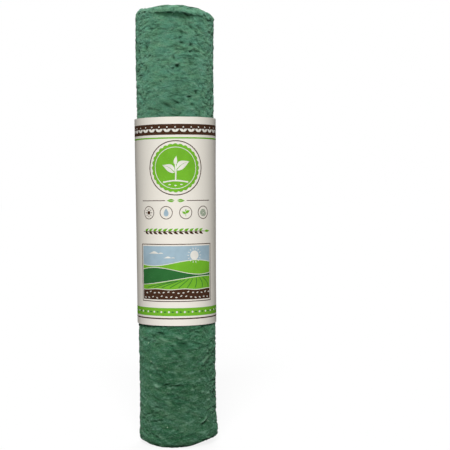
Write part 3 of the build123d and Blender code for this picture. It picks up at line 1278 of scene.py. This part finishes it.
loose = {
    # How many, half thickness, shortest and longest, and how high it arches, all in mm.
    "fine_fibres": (1900, 0.045, (4, 12), 0.45),
    "coarse_fibres": (650, 0.10, (5, 15), 0.7),
    "bends": 7,                 # steps along a fibre
    "leanSpread": 38,           # degrees from level, as most of them lie
    "curl": 26,                 # degrees that it turns at a step, at most
    "onTheEnd": 0.13,           # share of the fibres that lie on the upper end
    "freeEnds": 0.35,           # share of them that stand off the felt at one end
    "buried": 0.12 * mm,        # how deep an end is tucked in
    "dimBelow": 0.65,           # how pale they are below the sleeve, as a share
    "offSleeve": 2.5 * mm,
    "shades": ((0.020, 0.075, 0.040), (0.085, 0.235, 0.140), (0.230, 0.410, 0.290)),
}

seeds = {
    "length": 3.8 * mm, "width": 1.1 * mm,
    "sunk": 0.38 * mm,          # how far its middle lies under the surface
    # Degrees from the front, height and lean of those on the front, and how many lie elsewhere.
    "placed": [(-47.6, 118.8, 60), (-42.7, 98.4, 75), (-42.5, 83.5, 20), (51, 29.5, 45)],
    "elsewhere": 10,
    "shades": ((0.19, 0.31, 0.19), (0.28, 0.42, 0.28), (0.42, 0.55, 0.41)),
}


def feltSurface():
    # Both pieces of the mat as one tree that finds the nearest place on them.
    points, faces = [], []
    for piece in (outerWrap, innerWrap):
        first = len(points)
        points += [vertex.co.copy() for vertex in piece.data.vertices]
        faces += [[first + i for i in face.vertices] for face in piece.data.polygons]
    return BVHTree.FromPolygons(points, faces)


def startOnFelt(draw, onEnd):
    angle = draw.uniform(0, fullTurn)
    if onEnd:
        radius = math.sqrt(draw.uniform((boreRadius + 2 * mm) ** 2, (rollRadius - 4 * mm) ** 2))
        return onRoll(angle, radius, rollHeight + 1 * mm)
    below, above = sleeveLow.z - loose["offSleeve"], rollHeight - sleeveHigh.z - loose["offSleeve"]
    height = draw.uniform(3 * mm, below + above)
    if height > below:
        height += sleeveHigh.z + loose["offSleeve"] - below
    return onRoll(angle, rollRadius + 1 * mm, min(height, rollHeight - 1 * mm))


def headingAt(normal, degrees):
    # The way along the surface that leans so much from level.
    level = Vector((0, 0, 1)).cross(normal)
    level = level.normalized() if level.length > 0.3 else Vector((1, 0, 0)).cross(normal).normalized()
    return Matrix.Rotation(math.radians(degrees), 3, normal) @ level


def walk(tree, place, degrees, length, draw):
    # A path over the felt: its points and the way out from the felt at each of them.
    steps = loose["bends"]
    place, normal, _, _ = tree.find_nearest(place)
    heading = headingAt(normal, degrees)
    curl = draw.uniform(-loose["curl"], loose["curl"])
    path = [(place, normal)]
    for _ in range(steps):
        turn = math.radians(curl + draw.uniform(-10, 10))
        heading = Matrix.Rotation(turn, 3, normal) @ heading
        near = place + heading * length / steps
        if sleeveLow.z - loose["offSleeve"] < near.z < sleeveHigh.z + loose["offSleeve"]:
            heading.z = -heading.z
            near = place + heading * length / steps
        place, normal, _, _ = tree.find_nearest(near)
        heading = (heading - normal * heading.dot(normal)).normalized()
        path.append((place, normal))
    return path


def looseMaterial(name, dark, middle, pale):
    material, tree, surface = startMaterial(name)
    colour = ramp(tree, ownValue(tree, "shade"), [(0, dark), (0.5, middle), (1, pale)])
    uneven = grain(tree, placeOn(tree, "Object"), 1.5 * mm, 2)
    fillSockets(tree, surface, {
        "Base Color": blendWhere(tree, uneven, 0.4, 0.7, 0.5, colour, dark),
        "Roughness": 0.9,
        "Diffuse Roughness": 1.0,
        "Specular IOR Level": 0.15,
        "Sheen Weight": felt["napSheen"],
    })
    return material


def layFibres(name, tree, material, seed):
    count, halfThick, lengths, arch = loose[name]
    steps = loose["bends"]
    draw = random.Random(seed)
    piece, column, row = flatSheet(name, steps, 3)
    applyModifier(piece, "ARRAY", count=count)
    points, shades = [], []
    for i in range(count):
        place = startOnFelt(draw, draw.random() < loose["onTheEnd"])
        path = walk(tree, place, draw.gauss(0, loose["leanSpread"]), draw.uniform(*lengths) * mm, draw)
        archHere = draw.uniform(0.2, 1) ** 2 * arch * mm
        freeEnd = draw.random() < loose["freeEnds"]
        middles = []
        for step, (spot, normal) in enumerate(path):
            share = step / steps
            rise = archHere * (2.2 * share**2 if freeEnd else math.sin(math.pi * share))
            middles.append(spot + normal * (rise - loose["buried"]))
        shade = draw.random() * (loose["dimBelow"] if path[0][0].z < sleeveLow.z else 1)
        for c, r in zip(column, row):
            spot, normal = middles[c], path[c][1]
            along = (middles[min(c + 1, steps)] - middles[max(c - 1, 0)]).normalized()
            side = along.cross(normal).normalized()
            turn = fullTurn * (r % 3) / 3
            thick = halfThick * mm * math.sin(math.pi * c / steps) ** 0.5 if 0 < c < steps else 0
            spot = spot + (normal * math.cos(turn) + side * math.sin(turn)) * thick
            points.append((spot.x, spot.y, max(spot.z, outerTurns["offFloor"])))
            shades.append(shade)
    writePoints(piece, points)
    writeValues(piece, "shade", shades)
    closeUp(piece)
    finishPiece(piece, material)
    print(name, "laid:", len(piece.data.polygons), "faces")


def sowSeeds(tree):
    # A grass seed is a slim husk, pointed at both ends, with a furrow along its back.
    draw = random.Random(8)
    bpy.ops.object.select_all(action="DESELECT")
    bpy.ops.mesh.primitive_uv_sphere_add(segments=12, ring_count=9, radius=0.5)
    piece = newest("grass_seeds")
    husk = []
    for x, y, z in readPoints(piece):
        slim = max(0.0, 1 - (2 * z) ** 2) ** 0.35
        furrow = 0.16 * math.exp(-((x / 0.12) ** 2)) * (y > 0)
        wide = slim * seeds["width"]
        husk.append((z * seeds["length"], x * wide, (y - furrow) * wide * 0.8))
    spots = [(front + math.radians(d), h * mm, lean) for d, h, lean in seeds["placed"]]
    for _ in range(seeds["elsewhere"]):
        start = startOnFelt(draw, False)
        spots.append((math.atan2(start.y, start.x), start.z, draw.uniform(-90, 90)))
    applyModifier(piece, "ARRAY", count=len(spots))
    points, shades = [], []
    for angle, height, lean in spots:
        place, normal, _, _ = tree.find_nearest(onRoll(angle, rollRadius + 1 * mm, height))
        along = headingAt(normal, lean)
        along = (along + normal * draw.choice((-0.3, 0.3))).normalized()
        side = normal.cross(along).normalized()
        out = along.cross(side)
        size, shade = draw.uniform(0.85, 1.1), draw.random()
        for x, y, z in husk:
            points.append(place + (along * x + side * y + out * z) * size - normal * seeds["sunk"])
            shades.append(shade)
    writePoints(piece, points)
    writeValues(piece, "shade", shades)
    inEditMode(piece, faceOut)
    finishPiece(piece, looseMaterial("seedHusk", *seeds["shades"]))
    print("seeds sown:", len(spots))


feltTree = feltSurface()
fibreGreen = looseMaterial("looseFibre", *loose["shades"])
layFibres("fine_fibres", feltTree, fibreGreen, 21)
layFibres("coarse_fibres", feltTree, fibreGreen, 22)
sowSeeds(feltTree)
